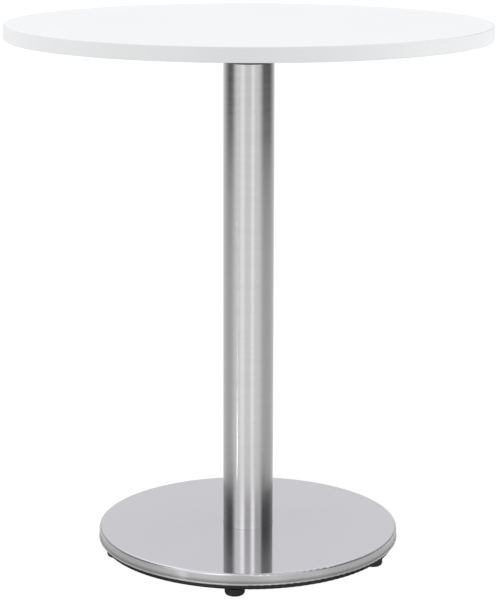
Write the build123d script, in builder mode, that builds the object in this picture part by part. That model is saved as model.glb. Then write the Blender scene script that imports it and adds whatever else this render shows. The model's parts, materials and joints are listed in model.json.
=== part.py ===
from build123d import *
import os
from math import cos, radians, sin

os.makedirs("parts", exist_ok=True)

# Round bistro table: a laminated top on a cast spider, a steel column and a weighted base on
# levelling feet, all clamped together by one long tie rod.
# Millimetres, +Z up. The origin is on the floor under the column's axis, and -Y is the front.

# ---- Driving dimensions ------------------------------------------------------------------
table_height = 765.0
top_diameter = 680.0
top_thickness = 20.0
column_diameter = 72.0
base_diameter = 432.5
base_top_height = 37.0
pan_underside_height = 13.0

# Tabletop
laminate_thickness = 1.0
band_thickness = 2.0
band_edge_radius = 1.0
band_joint_gap = 0.3

# Column and the parts that centre it
tube_wall = 1.2
centring_clearance = 0.1
foot_plug_height = 14.0

# Spider under the top
hub_diameter = 74.0
hub_depth = 35.0
spigot_depth = 18.0
spigot_hollow_diameter = 56.0
spigot_hollow_depth = 12.0
nut_recess_diameter = 40.0
nut_recess_depth = 18.0
arm_count = 4
arm_first_angle = 45.0
arm_thickness = 5.0
arm_root_radius = 24.0
arm_root_centre = 25.0
arm_tip_radius = 18.0
arm_tip_centre = 132.0
rib_thickness = 6.0
rib_end_radius = 114.0
rib_depth_at_hub = 26.0
hub_edge_radius = 1.0

# Wood screws, a pair through the tip of each arm
screw_pair_spacing = 18.0
screw_length = 17.0
screw_tip_length = 3.0
screw_shank_diameter = 4.0
screw_head_diameter = 9.0
screw_head_height = 3.0
screw_slot_width = 1.2
screw_slot_depth = 1.4
screw_hole_diameter = 5.0
pilot_clearance = 0.05

# Tie rod, M12, with its nuts and washers
rod_diameter = 12.0
rod_pitch = 1.75
rod_thread_turns = 26
rod_hole_diameter = 13.0
rod_end_inset = 1.0
nut_across_flats = 18.0
nut_height = 10.8
nut_chamfer = 1.2
thread_clearance = 0.05
flat_washer_diameter = 24.0
flat_washer_thickness = 2.5
spring_washer_diameter = 21.0
spring_washer_thickness = 3.0
spring_washer_gap = 1.5

# Base cover
cover_thickness = 1.2
cover_shoulder_radius = 3.2
cover_skirt_bulge = 0.3
hem_height = 20.4
hem_bead_radius = 1.3
hem_projection = 0.4

# Pan and ballast
pan_diameter = 424.0
pan_thickness = 1.5
pan_corner_radius = 3.0
nut_access_diameter = 40.0
ballast_diameter = 344.0
ballast_chamfer = 2.0
washer_seat_depth = 14.0
pan_screw_count = 5
pan_screw_circle_radius = 120.0
pan_screw_first_angle = -59.3
pan_screw_diameter = 5.0
pan_screw_length = 12.0
pan_screw_head_diameter = 10.0
pan_screw_head_height = 2.6
pan_screw_recess_diameter = 5.0
pan_screw_recess_depth = 1.4

# Levelling feet, M8
foot_count = 5
foot_circle_radius = 193.5
foot_first_angle = -95.3
boss_diameter = 22.0
boss_roof = 1.8
pad_diameter = 28.0
pad_height = 11.0
pad_lower_radius = 4.8
pad_upper_radius = 1.0
stud_diameter = 8.0
stud_pitch = 1.25
stud_thread_turns = 12
stud_head_diameter = 14.0
stud_head_height = 3.0
stud_head_base = 4.0
running_clearance = 0.06
pan_stud_hole_diameter = 9.4

# ---- Heights and radii that follow -------------------------------------------------------
top_underside = table_height - top_thickness
core_bottom = top_underside + laminate_thickness
core_top = table_height - laminate_thickness
core_radius = top_diameter / 2 - band_thickness

column_radius = column_diameter / 2
column_bore_radius = column_radius - tube_wall
centring_radius = column_bore_radius - centring_clearance

arm_bottom = top_underside - arm_thickness
hub_bottom = top_underside - hub_depth
nut_recess_floor = top_underside - nut_recess_depth
screw_tip_height = arm_bottom + screw_length

cover_radius = base_diameter / 2
cover_inner_top = base_top_height - cover_thickness
cover_inner_radius = cover_radius - cover_thickness
skirt_end_radius = cover_radius - cover_skirt_bulge
skirt_bottom = hem_height + hem_bead_radius
skirt_middle_height = (base_top_height + skirt_bottom) / 2
pan_floor_top = pan_underside_height + pan_thickness
filling_height = cover_inner_top - pan_floor_top

bottom_washer_top = pan_floor_top + washer_seat_depth
bottom_nut_top = bottom_washer_top - flat_washer_thickness
rod_bottom = pan_underside_height + rod_end_inset
rod_top = top_underside - rod_end_inset
upper_thread_bottom = rod_top - rod_thread_turns * rod_pitch
spring_washer_bottom = nut_recess_floor + flat_washer_thickness
top_nut_bottom = spring_washer_bottom + spring_washer_thickness


# ---- Helpers -----------------------------------------------------------------------------
def upright_plane(x=0.0, y=0.0):
    """Vertical plane through (x, y): its x runs along +X and its y along +Z."""
    return Plane(origin=(x, y, 0), x_dir=(1, 0, 0), z_dir=(0, -1, 0))


def radial_plane(angle):
    """Vertical plane through the column's axis: its x points outwards at this angle."""
    along = (cos(radians(angle)), sin(radians(angle)), 0)
    across = (sin(radians(angle)), -cos(radians(angle)), 0)
    return Plane(origin=(0, 0, 0), x_dir=along, z_dir=across)


def thread_flank(radius, pitch, start, turns):
    """Points (radius, height) up a thread drawn as plain ridges, one to a turn."""
    root_radius = radius - 0.6 * pitch
    points = []
    for turn in range(turns):
        height = start + turn * pitch
        points.append((root_radius, height))
        points.append((radius, height + 0.4 * pitch))
        points.append((radius, height + 0.6 * pitch))
    points.append((root_radius, start + turns * pitch))
    return points


def save(piece, label):
    """Label a finished piece and write it to its own STEP file."""
    piece.part.label = label
    export_step(piece.part, f"parts/{label}.step")


def hex_nut(bottom, label):
    """M12 nut standing on the column's axis, its corners turned off at both ends."""
    corner_radius = nut_across_flats / 2 / cos(radians(30))
    with BuildPart() as nut:
        with BuildSketch(Plane.XY.offset(bottom)):
            RegularPolygon(nut_across_flats / 2, 6, major_radius=False)
            Circle(rod_diameter / 2 + thread_clearance, mode=Mode.SUBTRACT)
        extrude(amount=nut_height)
        with BuildSketch(upright_plane()):
            with BuildLine():
                Polyline(
                    (0, bottom),
                    (corner_radius - nut_chamfer, bottom),
                    (corner_radius, bottom + nut_chamfer / 2),
                    (corner_radius, bottom + nut_height - nut_chamfer / 2),
                    (corner_radius - nut_chamfer, bottom + nut_height),
                    (0, bottom + nut_height),
                    close=True,
                )
            make_face()
        revolve(axis=Axis.Z, mode=Mode.INTERSECT)
    save(nut, label)


def flat_washer(bottom, label):
    """M12 flat washer on the column's axis."""
    with BuildPart() as washer:
        with BuildSketch(Plane.XY.offset(bottom)):
            Circle(flat_washer_diameter / 2)
            Circle(rod_hole_diameter / 2, mode=Mode.SUBTRACT)
        extrude(amount=flat_washer_thickness)
    save(washer, label)


def laminate_sheet(bottom, label, screw_holes):
    """Disc of laminate on one face of the core."""
    with BuildPart() as sheet:
        with BuildSketch(Plane.XY.offset(bottom)):
            Circle(core_radius)
            if screw_holes:
                with Locations(*screw_places):
                    Circle(screw_shank_diameter / 2 + pilot_clearance, mode=Mode.SUBTRACT)
        extrude(amount=laminate_thickness)
    save(sheet, label)


arm_angles = [arm_first_angle + n * 360 / arm_count for n in range(arm_count)]
screw_places = []
for arm_angle in arm_angles:
    for side in (-1, 1):
        pair_offset = side * screw_pair_spacing / 2
        place = Vector(arm_tip_centre, pair_offset).rotate(Axis.Z, arm_angle)
        screw_places.append((place.X, place.Y))

# ---- Tabletop ----------------------------------------------------------------------------
with BuildPart() as tabletop_core:
    with BuildSketch(Plane.XY.offset(core_bottom)):
        Circle(core_radius)
    extrude(amount=core_top - core_bottom)
    with BuildSketch(Plane.XY.offset(core_bottom)):
        with Locations(*screw_places):
            Circle(screw_shank_diameter / 2 + pilot_clearance)
    extrude(amount=screw_tip_height - core_bottom + 1, mode=Mode.SUBTRACT)
save(tabletop_core, "tabletop_core")

laminate_sheet(core_top, "top_laminate", screw_holes=False)
laminate_sheet(top_underside, "backing_laminate", screw_holes=True)

with BuildPart() as edge_band:
    with BuildSketch(Plane.XY.offset(top_underside)):
        Circle(top_diameter / 2)
        Circle(core_radius, mode=Mode.SUBTRACT)
    extrude(amount=top_thickness)
    outer_edges = edge_band.edges().filter_by(GeomType.CIRCLE).group_by(SortBy.RADIUS)[-1]
    fillet(outer_edges, radius=band_edge_radius)
    # The two ends of the band meet at the back of the table.
    with BuildSketch(Plane.XY.offset(top_underside)):
        with Locations((0, core_radius + band_thickness / 2)):
            Rectangle(band_joint_gap, 2 * band_thickness)
    extrude(amount=top_thickness, mode=Mode.SUBTRACT)
save(edge_band, "edge_band")

# ---- Spider and its screws ---------------------------------------------------------------
with BuildPart() as top_spider:
    with BuildSketch(Plane.XY.offset(hub_bottom)):
        Circle(hub_diameter / 2)
    extrude(amount=hub_depth)
    hub_lower_edge = top_spider.edges().filter_by(GeomType.CIRCLE).sort_by(Axis.Z)[0]
    fillet(hub_lower_edge, radius=hub_edge_radius)
    for arm_angle in arm_angles:
        with BuildSketch(Plane.XY.offset(arm_bottom).rotated((0, 0, arm_angle))):
            with Locations((arm_root_centre, 0)):
                Circle(arm_root_radius)
            with Locations((arm_tip_centre, 0)):
                Circle(arm_tip_radius)
            make_hull()
        extrude(amount=arm_thickness)
        with BuildSketch(radial_plane(arm_angle)):
            with BuildLine():
                Polyline(
                    (nut_recess_diameter / 2 + 2, arm_bottom - rib_depth_at_hub),
                    (hub_diameter / 2, arm_bottom - rib_depth_at_hub),
                    (rib_end_radius, arm_bottom - 2),
                    (rib_end_radius, arm_bottom + 1),
                    (nut_recess_diameter / 2 + 2, arm_bottom + 1),
                    close=True,
                )
            make_face()
        extrude(amount=rib_thickness / 2, both=True)
    with BuildSketch(Plane.XY.offset(hub_bottom)):
        Circle(centring_radius)
    extrude(amount=-spigot_depth)
    with BuildSketch(Plane.XY.offset(hub_bottom - spigot_depth)):
        Circle(spigot_hollow_diameter / 2)
    extrude(amount=spigot_hollow_depth, mode=Mode.SUBTRACT)
    with BuildSketch(Plane.XY.offset(top_underside)):
        Circle(nut_recess_diameter / 2)
    extrude(amount=-nut_recess_depth, mode=Mode.SUBTRACT)
    with BuildSketch(Plane.XY.offset(top_underside)):
        Circle(rod_hole_diameter / 2)
    extrude(amount=-(hub_depth + spigot_depth), mode=Mode.SUBTRACT)
    with BuildSketch(Plane.XY.offset(arm_bottom)):
        with Locations(*screw_places):
            Circle(screw_hole_diameter / 2)
    extrude(amount=arm_thickness, mode=Mode.SUBTRACT)
save(top_spider, "top_spider")

with BuildPart() as spider_screws:
    for x, y in screw_places:
        with BuildSketch(upright_plane(x, y)):
            with BuildLine():
                Polyline(
                    (0, arm_bottom - screw_head_height),
                    (screw_head_diameter / 4, arm_bottom - screw_head_height),
                    (screw_head_diameter / 2, arm_bottom - screw_head_height / 2),
                    (screw_head_diameter / 2, arm_bottom),
                    (screw_shank_diameter / 2, arm_bottom),
                    (screw_shank_diameter / 2, screw_tip_height - screw_tip_length),
                    (0, screw_tip_height),
                    close=True,
                )
            make_face()
        revolve(axis=Axis((x, y, 0), (0, 0, 1)))
    with BuildSketch(Plane.XY.offset(arm_bottom - screw_head_height)):
        with Locations(*screw_places):
            Rectangle(screw_head_diameter / 2, screw_slot_width)
            Rectangle(screw_slot_width, screw_head_diameter / 2)
    extrude(amount=screw_slot_depth, mode=Mode.SUBTRACT)
save(spider_screws, "spider_screws")

# ---- Column ------------------------------------------------------------------------------
with BuildPart() as column_tube:
    with BuildSketch(Plane.XY.offset(base_top_height)):
        Circle(column_radius)
        Circle(column_bore_radius, mode=Mode.SUBTRACT)
    extrude(amount=hub_bottom - base_top_height)
save(column_tube, "column_tube")

with BuildPart() as column_foot_plug:
    with BuildSketch(Plane.XY.offset(base_top_height)):
        Circle(centring_radius)
        Circle(rod_hole_diameter / 2, mode=Mode.SUBTRACT)
    extrude(amount=foot_plug_height)
    plug_top_rim = column_foot_plug.faces().sort_by(Axis.Z)[-1].outer_wire().edges()
    chamfer(plug_top_rim, length=2)
save(column_foot_plug, "column_foot_plug")

with BuildPart() as tie_rod:
    with BuildSketch(upright_plane()):
        with BuildLine():
            Polyline(
                (0, rod_bottom),
                *thread_flank(rod_diameter / 2, rod_pitch, rod_bottom, rod_thread_turns),
                *thread_flank(rod_diameter / 2, rod_pitch, upper_thread_bottom, rod_thread_turns),
                (0, rod_top),
                close=True,
            )
        make_face()
    revolve(axis=Axis.Z)
save(tie_rod, "tie_rod")

flat_washer(nut_recess_floor, "top_flat_washer")

with BuildPart() as top_spring_washer:
    with BuildSketch(Plane.XY.offset(spring_washer_bottom)):
        Circle(spring_washer_diameter / 2)
        Circle(rod_diameter / 2 + 2 * thread_clearance, mode=Mode.SUBTRACT)
        with Locations((spring_washer_diameter / 2, 0)):
            Rectangle(spring_washer_diameter, spring_washer_gap, mode=Mode.SUBTRACT)
    extrude(amount=spring_washer_thickness)
save(top_spring_washer, "top_spring_washer")

hex_nut(top_nut_bottom, "tie_rod_top_nut")
flat_washer(bottom_nut_top, "bottom_flat_washer")
hex_nut(bottom_nut_top - nut_height, "tie_rod_bottom_nut")

# ---- Base --------------------------------------------------------------------------------
with BuildPart() as base_cover:
    with BuildSketch(upright_plane()) as base_cover_profile:
        with BuildLine():
            crown = Line((rod_hole_diameter / 2, base_top_height), (skirt_end_radius, base_top_height))
            # The skirt swells a little at half its height, as a spun sheet does.
            skirt = ThreePointArc(crown @ 1, (cover_radius, skirt_middle_height),
                                  (skirt_end_radius, skirt_bottom))
            edge = Line(skirt @ 1, (cover_inner_radius, skirt_bottom))
            inner_skirt = Line(edge @ 1, (cover_inner_radius, cover_inner_top))
            inner_crown = Line(inner_skirt @ 1, (rod_hole_diameter / 2, cover_inner_top))
            Line(inner_crown @ 1, crown @ 0)
        make_face()
        outer_corner = base_cover_profile.vertices().sort_by_distance((skirt_end_radius, base_top_height))[0]
        fillet(outer_corner, radius=cover_shoulder_radius)
        inner_corner = base_cover_profile.vertices().sort_by_distance((cover_inner_radius, cover_inner_top))[0]
        fillet(inner_corner, radius=cover_shoulder_radius - cover_thickness)
    revolve(axis=Axis.Z)
    # Rolled hem: the sheet's edge curled into a bead that stands slightly proud.
    with BuildSketch(upright_plane()):
        with Locations((cover_radius + hem_projection - hem_bead_radius, skirt_bottom)):
            Circle(hem_bead_radius)
    revolve(axis=Axis.Z)
save(base_cover, "base_cover")

ballast_bolt_angles = [pan_screw_first_angle + n * 360 / pan_screw_count for n in range(pan_screw_count)]

with BuildPart() as ballast_disc:
    with BuildSketch(Plane.XY.offset(pan_floor_top)):
        Circle(ballast_diameter / 2)
    extrude(amount=filling_height)
    chamfer(ballast_disc.edges().filter_by(GeomType.CIRCLE), length=ballast_chamfer)
    with BuildSketch(Plane.XY.offset(pan_floor_top)):
        Circle(nut_access_diameter / 2)
    extrude(amount=washer_seat_depth, mode=Mode.SUBTRACT)
    with BuildSketch(Plane.XY.offset(pan_floor_top)):
        Circle(rod_hole_diameter / 2)
    extrude(amount=filling_height, mode=Mode.SUBTRACT)
    with BuildSketch(Plane.XY.offset(pan_floor_top)):
        with PolarLocations(pan_screw_circle_radius, pan_screw_count, start_angle=pan_screw_first_angle):
            Circle(pan_screw_diameter / 2 + thread_clearance)
    extrude(amount=pan_screw_length + 2, mode=Mode.SUBTRACT)
save(ballast_disc, "ballast_disc")

with BuildPart() as base_pan:
    with BuildSketch(Plane.XY.offset(pan_underside_height)):
        Circle(pan_diameter / 2)
    extrude(amount=cover_inner_top - pan_underside_height)
    pan_corner = base_pan.edges().filter_by(GeomType.CIRCLE).sort_by(Axis.Z)[0]
    fillet(pan_corner, radius=pan_corner_radius)
    pan_open_face = base_pan.faces().sort_by(Axis.Z)[-1]
    offset(amount=-pan_thickness, openings=pan_open_face)
    with BuildSketch(Plane.XY.offset(pan_underside_height)):
        Circle(nut_access_diameter / 2)
        with PolarLocations(pan_screw_circle_radius, pan_screw_count, start_angle=pan_screw_first_angle):
            Circle(pan_screw_diameter / 2 + thread_clearance)
        with PolarLocations(foot_circle_radius, foot_count, start_angle=foot_first_angle):
            Circle(pan_stud_hole_diameter / 2)
    extrude(amount=pan_thickness, mode=Mode.SUBTRACT)
save(base_pan, "base_pan")

with BuildPart() as pan_screws:
    for angle in ballast_bolt_angles:
        x = pan_screw_circle_radius * cos(radians(angle))
        y = pan_screw_circle_radius * sin(radians(angle))
        head_bottom = pan_underside_height - pan_screw_head_height
        with BuildSketch(upright_plane(x, y)):
            with BuildLine():
                Polyline(
                    (0, head_bottom),
                    (pan_screw_head_diameter / 3, head_bottom),
                    (pan_screw_head_diameter / 2, pan_underside_height - pan_screw_head_height / 3),
                    (pan_screw_head_diameter / 2, pan_underside_height),
                    (pan_screw_diameter / 2, pan_underside_height),
                    (pan_screw_diameter / 2, pan_floor_top + pan_screw_length),
                    (0, pan_floor_top + pan_screw_length),
                    close=True,
                )
            make_face()
        revolve(axis=Axis((x, y, 0), (0, 0, 1)))
        with BuildSketch(Plane(origin=(x, y, head_bottom))):
            RegularPolygon(pan_screw_recess_diameter / 2, 6)
        extrude(amount=pan_screw_recess_depth, mode=Mode.SUBTRACT)
save(pan_screws, "pan_screws")

with BuildPart() as foot_bosses:
    with BuildSketch(Plane.XY.offset(pan_floor_top)):
        with PolarLocations(foot_circle_radius, foot_count, start_angle=foot_first_angle):
            Circle(boss_diameter / 2)
    extrude(amount=filling_height)
    with BuildSketch(Plane.XY.offset(pan_floor_top)):
        with PolarLocations(foot_circle_radius, foot_count, start_angle=foot_first_angle):
            Circle(stud_diameter / 2 + running_clearance)
    extrude(amount=filling_height - boss_roof, mode=Mode.SUBTRACT)
save(foot_bosses, "foot_bosses")

# ---- Levelling feet ----------------------------------------------------------------------
for number in range(1, foot_count + 1):
    angle = foot_first_angle + (number - 1) * 360 / foot_count
    x = foot_circle_radius * cos(radians(angle))
    y = foot_circle_radius * sin(radians(angle))
    foot_axis = Axis((x, y, 0), (0, 0, 1))
    shank_radius = stud_diameter / 2
    head_radius = stud_head_diameter / 2
    head_top = stud_head_base + stud_head_height

    with BuildPart() as foot_stud:
        with BuildSketch(upright_plane(x, y)):
            with BuildLine():
                Polyline(
                    (0, stud_head_base),
                    (head_radius, stud_head_base),
                    (head_radius, head_top),
                    (shank_radius, head_top),
                    (shank_radius, pan_underside_height),
                    *thread_flank(shank_radius, stud_pitch, pan_floor_top, stud_thread_turns),
                    (0, pan_floor_top + stud_thread_turns * stud_pitch),
                    close=True,
                )
            make_face()
        revolve(axis=foot_axis)
    save(foot_stud, f"foot_stud_{number}")

    with BuildPart() as foot_pad:
        with BuildSketch(Plane(origin=(x, y, 0))):
            Circle(pad_diameter / 2)
        extrude(amount=pad_height)
        pad_rims = foot_pad.edges().filter_by(GeomType.CIRCLE).sort_by(Axis.Z)
        fillet(pad_rims[0], radius=pad_lower_radius)
        pad_rims = foot_pad.edges().filter_by(GeomType.CIRCLE).sort_by(Axis.Z)
        fillet(pad_rims[-1], radius=pad_upper_radius)
        with BuildSketch(Plane(origin=(x, y, stud_head_base - running_clearance))):
            Circle(head_radius + running_clearance)
        extrude(amount=stud_head_height + 2 * running_clearance, mode=Mode.SUBTRACT)
        with BuildSketch(Plane(origin=(x, y, stud_head_base))):
            Circle(shank_radius + running_clearance)
        extrude(amount=pad_height - stud_head_base, mode=Mode.SUBTRACT)
    save(foot_pad, f"foot_pad_{number}")
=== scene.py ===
import json
import math

import bpy
from mathutils import Matrix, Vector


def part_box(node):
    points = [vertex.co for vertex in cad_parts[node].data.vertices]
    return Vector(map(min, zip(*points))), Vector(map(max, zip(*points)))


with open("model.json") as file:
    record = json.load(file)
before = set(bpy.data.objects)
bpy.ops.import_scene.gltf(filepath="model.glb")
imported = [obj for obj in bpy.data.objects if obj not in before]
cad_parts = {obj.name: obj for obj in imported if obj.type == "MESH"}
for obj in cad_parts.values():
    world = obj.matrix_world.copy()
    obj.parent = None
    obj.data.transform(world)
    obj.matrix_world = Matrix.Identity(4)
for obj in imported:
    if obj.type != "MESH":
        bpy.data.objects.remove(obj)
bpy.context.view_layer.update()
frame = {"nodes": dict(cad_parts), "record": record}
nodes = frame["nodes"]

# Metres throughout. +Z up, -Y front, the floor at z = 0 and the column's axis at x = y = 0.

# ---- Sizes taken from the frame ----------------------------------------------------------
table_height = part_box("top_laminate")[1].z
cover_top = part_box("base_cover")[1].z
cover_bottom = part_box("base_cover")[0].z
cover_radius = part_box("base_cover")[1].x
column_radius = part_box("column_tube")[1].x

# ---- Camera ------------------------------------------------------------------------------
# In front of the table and a little above its top, tilted down. Lens and sensor in millimetres,
# angles in degrees, and the shifts as shares of the image's longer side.
CAMERA_LENS = 121.674
CAMERA_SENSOR = 36.0
CAMERA_SHIFT = (0.0015, -0.109667)
CAMERA_DISTANCE = 2.8264
CAMERA_ABOVE_TOP = 0.2493
CAMERA_PITCH = 11.0
CAMERA_ROLL = 0.13

camera = bpy.data.objects.new("camera", bpy.data.cameras.new("camera"))
camera.data.sensor_width = CAMERA_SENSOR
camera.data.lens = CAMERA_LENS
camera.data.shift_x, camera.data.shift_y = CAMERA_SHIFT
camera.location = (0, -CAMERA_DISTANCE, table_height + CAMERA_ABOVE_TOP)
pitch = Matrix.Rotation(math.radians(90 - CAMERA_PITCH), 3, "X")
roll = Matrix.Rotation(math.radians(CAMERA_ROLL), 3, "Z")
camera.rotation_euler = (pitch @ roll).to_euler()
bpy.context.scene.collection.objects.link(camera)
bpy.context.scene.camera = camera
bpy.context.scene.view_settings.view_transform = "Standard"


# ---- Node helpers ------------------------------------------------------------------------
class Graph:
    """A node tree with short calls for the nodes that the studio and the materials share."""

    def __init__(self, tree):
        self.tree = tree
        tree.nodes.clear()

    def node(self, kind, inputs=None, **settings):
        made = self.tree.nodes.new(kind)
        for name, value in settings.items():
            setattr(made, name, value)
        for name, value in (inputs or {}).items():
            self.feed(made.inputs[name], value)
        return made

    def feed(self, socket, value):
        if isinstance(value, bpy.types.NodeSocket):
            self.tree.links.new(value, socket)
        else:
            socket.default_value = value

    def math(self, operation, first, second=0.0):
        return self.node("ShaderNodeMath", {0: first, 1: second}, operation=operation).outputs[0]

    def mix(self, factor, first, second):
        """A value that goes from first to second as factor goes from 0 to 1."""
        return self.node("ShaderNodeMix", {0: factor, 2: first, 3: second}).outputs[0]

    def ramp_up(self, value, start, end):
        """0 at start and 1 at end, eased; start may be the larger."""
        inputs = {"Value": value, "From Min": start, "From Max": end}
        made = self.node("ShaderNodeMapRange", inputs, interpolation_type="SMOOTHSTEP")
        return made.outputs["Result"]

    def window(self, value, centre, half, soft):
        """1 where value is within half of centre, eased to 0 over soft across each edge."""
        distance = self.math("ABSOLUTE", self.math("SUBTRACT", value, centre))
        return self.ramp_up(distance, half + soft / 2, half - soft / 2)

    def length(self, vector):
        return self.node("ShaderNodeVectorMath", {0: vector}, operation="LENGTH").outputs["Value"]

    def parts(self, vector):
        return self.node("ShaderNodeSeparateXYZ", {0: vector}).outputs

    def angle(self, across, ahead):
        """Degrees from ahead, positive towards across."""
        return self.math("DEGREES", self.math("ARCTAN2", across, ahead))


# ---- Studio: what the bright metal reflects ----------------------------------------------
# Each panel hides part of what comes before it: name, azimuth and half width, elevation and
# half height, with the softness of each, then radiance. Azimuth 0 is towards the front and
# positive towards +X, in degrees.
ROOM_RADIANCE = 0.10
STUDIO_PANELS = [
    ("upper_walls", (0, 400, 1), (50, 43, 8), 0.11),
    ("left_wall_top", (-95, 35, 20), (60, 30, 16), 0.35),
    ("back_wall_left", (-180, 53, 70), (40, 60, 20), 0.42),
    ("back_wall_right", (180, 46, 65), (40, 60, 20), 0.40),
    ("back_horizon_left", (-180, 53, 70), (-12, 21, 14), 0.84),
    ("back_horizon_right", (180, 46, 65), (-12, 21, 14), 0.84),
    ("back_panel_left", (-180, 15, 18), (14, 36, 12), 0.83),
    ("back_panel_right", (180, 15, 18), (14, 36, 12), 0.83),
    ("far_floor", (0, 400, 1), (-60, 51.2, 1.2), 0.58),
    ("floor_below", (0, 400, 1), (-60, 36, 10), 0.90),
    ("back_floor_left", (-180, 44, 80), (-60, 51.2, 1.2), 0.80),
    ("back_floor_right", (180, 40, 80), (-60, 51.2, 1.2), 0.80),
    ("front_wall", (-5, 62, 34), (30, 60, 1), 0.85),
    ("front_wall_low", (-5, 62, 34), (16, 14, 8), 0.70),
    ("front_ceiling", (5, 61, 4), (62, 36, 10), 0.85),
    ("front_floor", (-7, 60, 64), (-60, 51.7, 1.2), 0.94),
    ("left_reflector", (-50, 14, 16), (30, 30, 14), 1.15),
    ("right_reflector", (50, 10, 16), (30, 30, 14), 0.74),
    ("left_softbox", (-27, 10, 14), (30, 30, 14), 1.78),
    ("right_softbox", (22, 8, 16), (30, 30, 14), 1.80),
    ("left_glow", (-28, 9, 18), (-37, 33, 10), 1.18),
    ("right_glow", (18, 7, 14), (-37, 33, 10), 1.20),
    ("left_edge_strip", (-53.2, 1.2, 1.6), (-50, 28, 6), 18.0),
    ("right_edge_strip", (62, 1.8, 3), (-62, 28, 8), 9.0),
]
# Overhead, lying along Y, a wide pale panel and in it a long softbox: the middle and half width
# of each across, with its softness, then radiance. Both reach equally far along. In degrees.
OVERHEAD_PANELS = [
    ("overhead_panel", (1.5, 35, 5), 0.80),
    ("overhead_softbox", (-8, 24, 8), 1.4),
]
OVERHEAD_LENGTH = (-20, 42, 10)
STUDIO_TINT = (0.985, 0.985, 1.0, 1)
BACKDROP_RADIANCE = 1.05
WHITE = (1, 1, 1, 1)
# The light that matt surfaces gather: more from above, from both sides and a little from the
# right. The power keeps the light from the sides close to them.
DOME_BASE = 0.62
DOME_ABOVE = 0.50
DOME_SIDES = 1.8
DOME_SIDES_POWER = 6.0
DOME_RIGHT = 0.06
DOME_TINT = (0.99, 0.995, 1.0, 1)


def studio_radiance(g, x, y, z):
    """The room and its panels, in the direction x, y, z."""
    towards_front = g.math("MULTIPLY", y, -1.0)
    azimuth = g.angle(x, towards_front)
    elevation = g.math("DEGREES", g.math("ARCSINE", z))
    radiance = ROOM_RADIANCE
    for name, width, height, strength in STUDIO_PANELS:
        cover = g.math("MULTIPLY", g.window(azimuth, *width), g.window(elevation, *height))
        cover.node.label = name
        radiance = g.mix(cover, radiance, strength)
    across = g.angle(x, z)
    along = g.window(g.angle(towards_front, z), *OVERHEAD_LENGTH)
    for name, width, strength in OVERHEAD_PANELS:
        cover = g.math("MULTIPLY", g.window(across, *width), along)
        cover.node.label = name
        radiance = g.mix(cover, radiance, strength)
    return radiance


def dome_radiance(g, x, z):
    """The smooth light of the whole room, without its panels."""
    above = g.math("MULTIPLY", g.math("MAXIMUM", z, 0.0), DOME_ABOVE)
    sideways = g.math("POWER", g.math("ABSOLUTE", x), DOME_SIDES_POWER)
    sides = g.math("MULTIPLY", sideways, DOME_SIDES)
    right = g.math("MULTIPLY", x, DOME_RIGHT)
    return g.math("ADD", g.math("ADD", above, sides), g.math("ADD", right, DOME_BASE))


def build_world():
    """White for the camera, the studio for reflections and the dome for everything else."""
    world = bpy.data.worlds.new("studio")
    bpy.context.scene.world = world
    world.use_nodes = True
    world.cycles.sampling_method = "NONE"
    g = Graph(world.node_tree)
    x, y, z = g.parts(g.node("ShaderNodeTexCoord").outputs["Generated"])

    def light(colour, strength):
        return g.node("ShaderNodeBackground", {"Color": colour, "Strength": strength}).outputs[0]

    path = g.node("ShaderNodeLightPath").outputs
    studio = light(STUDIO_TINT, studio_radiance(g, x, y, z))
    dome = light(DOME_TINT, dome_radiance(g, x, z))
    white = light(WHITE, BACKDROP_RADIANCE)
    lit = g.node("ShaderNodeMixShader", {0: path["Is Glossy Ray"], 1: dome, 2: studio}).outputs[0]
    seen = g.node("ShaderNodeMixShader", {0: path["Is Camera Ray"], 1: lit, 2: white}).outputs[0]
    g.node("ShaderNodeOutputWorld", {"Surface": seen})


build_world()

# ---- Floor and the shade round the base --------------------------------------------------
# The floor lies just below the lowest reach of the feet, so that no pose sinks into it.
FLOOR_HEIGHT = -0.0085
FLOOR_RADIUS = 6.0
FLOOR_ALBEDO = 0.05
FLOOR_GLOW = 0.99
# The shade hides part of the studio's floor from the metal: radius in metres and the share of
# the floor's light left there.
SHADE_HEIGHT = -0.0005
SHADE_RADIUS = 0.62
FLOOR_SHADE = [(0.0, 0.1), (0.22, 0.25), (0.28, 0.42), (0.33, 0.60), (0.38, 0.76), (0.43, 0.95), (0.5, 1.0)]
# Towards the front and the back the floor is clear again close to the base: azimuth without its
# sign, half width and softness in degrees, then the radii between which it clears, and the share
# of light beyond them.
FRONT_CLEAR = (0, 57, 40)
BACK_CLEAR = (180, 98, 20)
CLEAR_FROM = 0.24
CLEAR_AT = 0.33
CLEAR_SHARE = 0.95


def disc(name, radius, height, material, segments=96):
    """A flat round stage piece."""
    turns = [2 * math.pi * n / segments for n in range(segments)]
    ring = [(radius * math.cos(turn), radius * math.sin(turn), height) for turn in turns]
    mesh = bpy.data.meshes.new(name)
    mesh.from_pydata(ring, [], [list(range(segments))])
    mesh.materials.append(material)
    made = bpy.data.objects.new(name, mesh)
    bpy.context.scene.collection.objects.link(made)
    return made


def floor_material():
    """Pale, giving off light besides what it scatters, and clear when seen from below."""
    made = bpy.data.materials.new("floor_white")
    made.use_nodes = True
    g = Graph(made.node_tree)
    grey = (FLOOR_ALBEDO, FLOOR_ALBEDO, FLOOR_ALBEDO, 1)
    diffuse = g.node("ShaderNodeBsdfDiffuse", {"Color": grey}).outputs[0]
    glow = g.node("ShaderNodeEmission", {"Color": WHITE, "Strength": FLOOR_GLOW}).outputs[0]
    both = g.node("ShaderNodeAddShader", {0: diffuse, 1: glow}).outputs[0]
    below = g.node("ShaderNodeNewGeometry").outputs["Backfacing"]
    clear = g.node("ShaderNodeBsdfTransparent").outputs[0]
    sided = g.node("ShaderNodeMixShader", {0: below, 1: both, 2: clear}).outputs[0]
    g.node("ShaderNodeOutputMaterial", {"Surface": sided})
    return made


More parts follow.
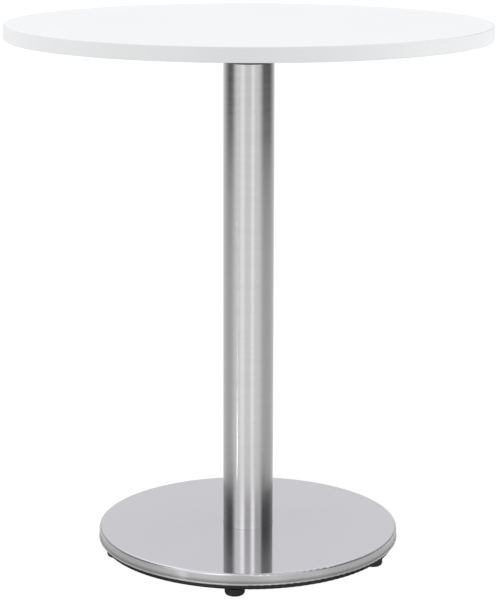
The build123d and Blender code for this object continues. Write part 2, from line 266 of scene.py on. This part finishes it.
def shade_material():
    """Lets through only part of the studio's floor, the less the nearer to the base."""
    made = bpy.data.materials.new("shade_round_base")
    made.use_nodes = True
    g = Graph(made.node_tree)
    place = g.node("ShaderNodeTexCoord").outputs["Object"]
    radius = g.length(place)
    ramp = g.node("ShaderNodeValToRGB", {0: radius})
    stops = ramp.color_ramp.elements
    while len(stops) < len(FLOOR_SHADE):
        stops.new(0.5)
    for stop, (distance, share) in zip(stops, FLOOR_SHADE):
        stop.position = distance
        stop.color = (share, share, share, 1)
    x, y, _ = g.parts(place)
    azimuth = g.angle(g.math("ABSOLUTE", x), g.math("MULTIPLY", y, -1.0))
    sides = g.math("MAXIMUM", g.window(azimuth, *FRONT_CLEAR), g.window(azimuth, *BACK_CLEAR))
    cleared = g.math("MULTIPLY", g.ramp_up(radius, CLEAR_FROM, CLEAR_AT), sides)
    share_left = g.mix(cleared, ramp.outputs[0], CLEAR_SHARE)
    veil = g.node("ShaderNodeBsdfTransparent", {"Color": share_left})
    g.node("ShaderNodeOutputMaterial", {"Surface": veil.outputs[0]})
    return made


floor = disc("floor", FLOOR_RADIUS, FLOOR_HEIGHT, floor_material())
floor.visible_glossy = False
floor.visible_diffuse = False
floor.visible_shadow = False

shade = disc("shade", SHADE_RADIUS, SHADE_HEIGHT, shade_material())
shade.visible_camera = False
shade.visible_diffuse = False
shade.visible_shadow = False

# ---- Materials ---------------------------------------------------------------------------
# The lines ground round the tube run a little out of level.
GRIND_SLANT = (0.0, math.radians(2.5), 0.0)
# Heights above the cover's face between which the tube's foot carries a painted highlight, and the
# narrower ones of the painted shade of its contact line below it, both strongest at the first and
# gone at the second. The shares say how far each takes the colour.
FOOT_HIGHLIGHT = (0.0018, 0.0028)
FOOT_HIGHLIGHT_SHARE = 0.15
FOOT_HIGHLIGHT_COLOUR = (0.88, 0.87, 0.87)
CONTACT_SHADE = (0.0005, 0.0014)
CONTACT_SHADE_SHARE = 0.15
# Heights above the floor between which the tube is scuffed, strongest at the first, and the
# roughness that this adds.
SCUFFED = (0.08, 0.30)
SCUFF_ROUGHNESS = 0.07
# Depths below the cover's face at which its polish ends and its skirt begins.
SKIRT = (0.0018, 0.0028)
SKIRT_COLOUR = (0.54, 0.532, 0.532)
SKIRT_METALLIC = 0.42
SKIRT_ANISOTROPY = 0.97
# How metallic the cover's face looks next to the tube, and how much of that a film of wax and
# dust takes away at its edge.
FACE_METALLIC = 0.98
FILM_SHARE = 0.12
# Heights above the lower edge of the cover's hem at which a darker band over it, a painted reflection
# of shade, begins, is full, starts to fade and is gone.
HEM_SHADE_BAND = (0.0024, 0.0030, 0.0040, 0.0085)
HEM_SHADE_SHARE = 0.62
# How far from the tube the cover is darkened by painted shade, where the two meet.
SEAM_SHADE_WIDTH = 0.0018
SEAM_SHADE_SHARE = 0.3
# The colour of the painted shade and the painted reflection of shade on the tube and the cover.
PAINTED_SHADE = (0.16, 0.155, 0.15)
# A quarter turn: the blur of brushed metal runs up and down, across its lines.
UP_AND_DOWN = 0.25


def position(g, stretch=(1.0, 1.0, 1.0), slant=(0.0, 0.0, 0.0)):
    """Place on the object in metres, turned by slant and then multiplied by stretch."""
    place = g.node("ShaderNodeTexCoord").outputs["Object"]
    turned = g.node("ShaderNodeMapping", {"Vector": place, "Rotation": slant}).outputs[0]
    return g.node("ShaderNodeMapping", {"Vector": turned, "Scale": stretch}).outputs[0]


def noise(g, vector, scale, detail=3.0, roughness=0.5):
    """Mostly between 0.3 and 0.7."""
    inputs = {"Vector": vector, "Scale": scale, "Detail": detail, "Roughness": roughness}
    return g.node("ShaderNodeTexNoise", inputs).outputs[0]


def spread(g, value, low, high, start=0.3, end=0.7):
    """Maps a noise value onto the range low to high."""
    inputs = {"Value": value, "From Min": start, "From Max": end, "To Min": low, "To Max": high}
    return g.node("ShaderNodeMapRange", inputs).outputs["Result"]


def blended(g, colour, factor, to=PAINTED_SHADE):
    """A colour that goes from colour to the fixed one as factor goes from 0 to 1."""
    inputs = {"Factor": factor, 6: colour, 7: (*to, 1)}
    return g.node("ShaderNodeMix", inputs, data_type="RGBA").outputs[2]


def tint(g, factor, dark, light):
    """A colour from dark to light as factor goes from 0 to 1."""
    return blended(g, (*dark, 1), factor, light)


def bump(g, height, strength, distance, after=None):
    """A normal bent by height, on top of the bending of after."""
    inputs = {"Height": height, "Strength": strength, "Distance": distance}
    if after is not None:
        inputs["Normal"] = after
    return g.node("ShaderNodeBump", inputs).outputs[0]


def round_the_axis(g):
    """The direction in which turned and ground lines run."""
    return g.node("ShaderNodeTangent", direction_type="RADIAL", axis="Z").outputs[0]


def surface(name, build):
    """A material whose Principled inputs are what build(g) returns."""
    made = bpy.data.materials.new(name)
    made.use_nodes = True
    g = Graph(made.node_tree)
    shader = g.node("ShaderNodeBsdfPrincipled", build(g))
    g.node("ShaderNodeOutputMaterial", {"Surface": shader.outputs[0]})
    return made


def brushed_stainless(g):
    """Satin tube: short wavy lines ground round it over faint cloudiness, which spread light up and
    down, more so near the foot, with a painted highlight along the edge that stands on the cover
    and painted shade at its contact line."""
    sway = noise(g, position(g), 18, 2)
    lines = noise(g, position(g, (0.12, 0.12, 1.0), GRIND_SLANT), 620, 4, 0.65)
    bands = noise(g, position(g, (0.05, 0.05, 1.0), GRIND_SLANT), 130, 3)
    grain = g.math("ADD", spread(g, lines, 0, 0.6), spread(g, bands, 0, 0.4))
    height = g.parts(position(g))[2]
    above_cover = g.math("SUBTRACT", height, cover_top)
    # Painted highlight along the tube's foot.
    foot_highlight = g.math("MULTIPLY", g.ramp_up(above_cover, FOOT_HIGHLIGHT[1], FOOT_HIGHLIGHT[0]), FOOT_HIGHLIGHT_SHARE)
    # Painted shade along the tube's contact line with the cover.
    contact_shade = g.math("MULTIPLY", g.ramp_up(above_cover, CONTACT_SHADE[1], CONTACT_SHADE[0]), CONTACT_SHADE_SHARE)
    scuffed = g.math("MULTIPLY", g.ramp_up(height, SCUFFED[1], SCUFFED[0]), SCUFF_ROUGHNESS)
    colour = tint(g, grain, (0.602, 0.592, 0.588), (0.642, 0.634, 0.634))
    fine = spread(g, grain, 0.09, 0.13, 0.0, 1.0)
    return {
        "Metallic": 1.0,
        "Base Color": blended(g, blended(g, colour, foot_highlight, FOOT_HIGHLIGHT_COLOUR), contact_shade),
        "Roughness": g.math("ADD", g.math("ADD", fine, scuffed), spread(g, sway, -0.01, 0.01)),
        "Anisotropic": 0.9,
        "Anisotropic Rotation": UP_AND_DOWN,
        "Tangent": round_the_axis(g),
        "Normal": bump(g, lines, 0.035, 0.0003, bump(g, sway, 0.03, 0.002)),
    }


def polished_stainless(g):
    """Spun cover: its face buffed nearly to a mirror under a faint haze, its skirt left with fine
    turned lines, which spread light up and down, a darker band above the hem that is a painted
    reflection of shade, and painted shade where the tube stands on it."""
    haze = noise(g, position(g), 9, 4)
    marks = noise(g, position(g), 420, 2)
    ripple = noise(g, position(g), 6, 1)
    turned = noise(g, position(g, (0.03, 0.03, 1.0)), 1500, 3, 0.6)
    height = g.parts(position(g))[2]
    radius = g.length(position(g, (1.0, 1.0, 0.0)))
    skirt = g.ramp_up(height, cover_top - SKIRT[0], cover_top - SKIRT[1])
    # Painted reflection of shade: a darker band above the hem.
    above_hem = g.ramp_up(height, cover_bottom + HEM_SHADE_BAND[0], cover_bottom + HEM_SHADE_BAND[1])
    below_skirt = g.ramp_up(height, cover_bottom + HEM_SHADE_BAND[3], cover_bottom + HEM_SHADE_BAND[2])
    hem_shade = g.math("MULTIPLY", g.math("MULTIPLY", below_skirt, above_hem), HEM_SHADE_SHARE)
    # Painted shade on the cover where the tube stands on it.
    near_tube = g.ramp_up(radius, column_radius + SEAM_SHADE_WIDTH, column_radius)
    seam_shade = g.math("MULTIPLY", near_tube, SEAM_SHADE_SHARE)
    film = g.math("MULTIPLY", g.ramp_up(radius, column_radius, cover_radius), FILM_SHARE)
    face_roughness = g.math("ADD", spread(g, haze, 0.045, 0.07), spread(g, marks, 0.0, 0.005))
    face_colour = tint(g, spread(g, haze, 0, 1), (0.648, 0.641, 0.668), (0.662, 0.655, 0.682))
    colour = blended(g, face_colour, skirt, SKIRT_COLOUR)
    return {
        "Metallic": g.mix(skirt, g.math("SUBTRACT", FACE_METALLIC, film), SKIRT_METALLIC),
        "Base Color": blended(g, colour, g.math("MAXIMUM", seam_shade, hem_shade)),
        "Roughness": g.mix(skirt, face_roughness, spread(g, turned, 0.26, 0.32)),
        "Anisotropic": g.math("MULTIPLY", skirt, SKIRT_ANISOTROPY),
        "Anisotropic Rotation": UP_AND_DOWN,
        "Tangent": round_the_axis(g),
        "Normal": bump(g, turned, 0.04, 0.0002, bump(g, ripple, 0.05, 0.002)),
    }


def white_laminate(g):
    """High-pressure laminate: satin white with a fine pebble and a trace of unevenness."""
    pebble = noise(g, position(g), 900, 3, 0.6)
    cloud = noise(g, position(g), 5, 3)
    return {
        "Base Color": tint(g, spread(g, cloud, 0, 1), (0.872, 0.880, 0.894), (0.884, 0.892, 0.905)),
        "Specular IOR Level": 0.3,
        "Roughness": g.math("ADD", spread(g, pebble, 0.30, 0.38), spread(g, cloud, -0.02, 0.02)),
        "Normal": bump(g, pebble, 0.06, 0.0003),
    }


def white_band(g):
    """Plastic band: satin, with faint lines along it from extrusion."""
    lines = noise(g, position(g, (0.02, 0.02, 1.0)), 1400, 3, 0.6)
    cloud = noise(g, position(g), 9, 3)
    return {
        "Base Color": tint(g, spread(g, cloud, 0, 1), (0.800, 0.803, 0.806), (0.818, 0.821, 0.824)),
        "Specular IOR Level": 0.35,
        "Roughness": g.math("ADD", spread(g, lines, 0.22, 0.28), spread(g, cloud, -0.02, 0.02)),
        "Normal": bump(g, lines, 0.05, 0.0003),
    }


def particle_board(g):
    """Pressed chips: pale and dark flakes in a coarse weave."""
    chips = g.node("ShaderNodeTexVoronoi", {"Vector": position(g, (1, 1, 3)), "Scale": 420.0})
    flakes = chips.outputs["Distance"]
    grain = noise(g, position(g), 160, 4)
    paleness = spread(g, g.math("MULTIPLY", flakes, grain), 0, 1, 0.05, 0.45)
    return {
        "Base Color": tint(g, paleness, (0.36, 0.25, 0.14), (0.66, 0.52, 0.34)),
        "Roughness": spread(g, grain, 0.75, 0.92),
        "Normal": bump(g, flakes, 0.5, 0.0006),
    }


def black_powder_coat(g):
    """Fine-textured black paint, a little duller where it lies thick."""
    grain = noise(g, position(g), 1500, 3, 0.6)
    cloud = noise(g, position(g), 14, 3)
    return {
        "Base Color": tint(g, spread(g, cloud, 0, 1), (0.009, 0.009, 0.010), (0.015, 0.015, 0.017)),
        "Roughness": g.math("ADD", spread(g, grain, 0.40, 0.52), spread(g, cloud, -0.03, 0.03)),
        "Normal": bump(g, grain, 0.25, 0.0004),
    }


def zinc_steel(g):
    """Bright zinc plate: cloudy, faintly blue, with turned marks."""
    cloud = noise(g, position(g), 90, 4)
    marks = noise(g, position(g, (1, 1, 9)), 700, 2)
    return {
        "Metallic": 1.0,
        "Base Color": tint(g, spread(g, cloud, 0, 1), (0.54, 0.55, 0.57), (0.66, 0.67, 0.68)),
        "Roughness": g.math("ADD", spread(g, cloud, 0.24, 0.36), spread(g, marks, -0.04, 0.04)),
        "Normal": bump(g, marks, 0.15, 0.0003),
    }


def cast_iron(g):
    """Sand-cast iron under thin grey primer."""
    sand = noise(g, position(g), 700, 4, 0.65)
    cloud = noise(g, position(g), 30, 4)
    return {
        "Metallic": 0.3,
        "Base Color": tint(g, spread(g, cloud, 0, 1), (0.055, 0.055, 0.057), (0.105, 0.103, 0.10)),
        "Roughness": spread(g, sand, 0.62, 0.82),
        "Normal": bump(g, sand, 0.6, 0.0008),
    }


def black_rubber(g):
    """Moulded rubber: matt, with a very fine grain, and dust that greys and dulls it in patches."""
    grain = noise(g, position(g), 1300, 3, 0.6)
    dust = noise(g, position(g), 60, 4)
    return {
        "Base Color": tint(g, spread(g, dust, 0, 1), (0.012, 0.013, 0.015), (0.022, 0.023, 0.026)),
        "Roughness": g.math("ADD", spread(g, grain, 0.42, 0.52), spread(g, dust, -0.03, 0.05)),
        "Normal": bump(g, grain, 0.15, 0.0003),
    }


BUILDERS = {
    "white_laminate": white_laminate,
    "edge_band": white_band,
    "particle_board": particle_board,
    "black_powder_coat": black_powder_coat,
    "brushed_stainless": brushed_stainless,
    "polished_stainless": polished_stainless,
    "zinc_steel": zinc_steel,
    "cast_iron": cast_iron,
    "black_rubber": black_rubber,
}
finishes = {slot: surface(slot + "_finish", build) for slot, build in BUILDERS.items()}
for part in frame["record"]["subparts"]:
    materials = nodes[part["node"]].data.materials
    materials.clear()
    materials.append(finishes[part["material_slot"]])
